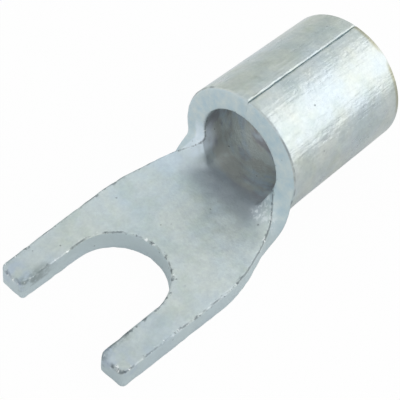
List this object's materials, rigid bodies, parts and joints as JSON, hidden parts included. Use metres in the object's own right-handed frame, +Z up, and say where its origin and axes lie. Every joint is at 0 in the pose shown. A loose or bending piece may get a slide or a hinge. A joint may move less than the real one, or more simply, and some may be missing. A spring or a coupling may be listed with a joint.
{
  "type": "fork terminal",
  "caption": "Uninsulated fork terminal with a flat forked tongue for a screw or stud, a curled neck and a rolled, seamed barrel that crimps onto a stripped wire.",
  "frame": {"origin": "centre of the stud slot's round end, on the tongue's underside", "axes": "+X along the barrel towards the wire, +Y across the prongs, +Z up out of the tongue's top"},
  "size_m": [0.0166, 0.007, 0.006],
  "materials": {
    "tinned_copper": "satin electro-tin over copper, with light handling marks"
  },
  "bodies": {
    "root": {"fork_terminal": "tinned_copper"}
  },
  "joints": []
}
